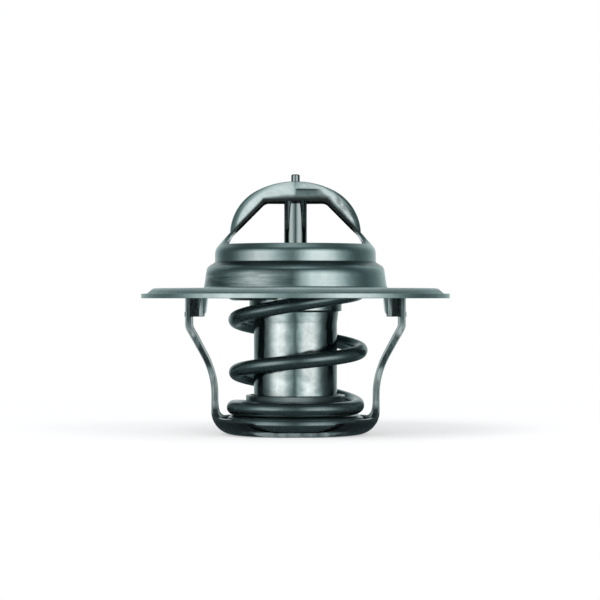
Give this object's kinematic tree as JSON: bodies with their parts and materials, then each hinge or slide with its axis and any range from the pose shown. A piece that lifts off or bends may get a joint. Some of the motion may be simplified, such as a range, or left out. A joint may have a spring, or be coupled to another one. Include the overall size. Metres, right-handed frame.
{
  "type": "engine coolant thermostat",
  "caption": "Wax element coolant valve with a flat round flange, an arched bridge over the seat, a coil spring and a hooked lower frame.",
  "frame": {"origin": "valve axis at the underside of the flange brim", "axes": "+Z along the piston from the element to the bridge; the two frame legs stand on the X axis"},
  "size_m": [0.054, 0.054, 0.0455],
  "materials": {
    "pressing": "satin rolled steel sheet",
    "frame": "darker polished steel sheet",
    "pin": "ground and polished",
    "spring": "dark drawn spring wire",
    "disc": "satin rolled steel sheet",
    "cup": "satin drawn cup",
    "bush": "turned",
    "clip": "dark spring steel",
    "seal": "smooth",
    "sleeve": "moulded",
    "wax": "solid wax with metal powder"
  },
  "bodies": {
    "housing": {"flange_bridge": "pressing", "lower_frame": "frame", "piston_pin": "pin", "main_spring": "spring"},
    "valve": {"valve_disc": "disc", "element_cup": "cup", "guide_bush": "bush", "valve_clip": "clip", "piston_seal": "seal", "rubber_sleeve": "sleeve", "wax_charge": "wax"}
  },
  "joints": [
    {"name": "valve_travel", "type": "slide", "parent": "housing", "child": "valve", "axis": [0, 0, -1], "range_m": [0, 0.008], "stiffness_N_per_m": 500, "springref_m": -0.02, "deforming": ["main_spring"]}
  ]
}
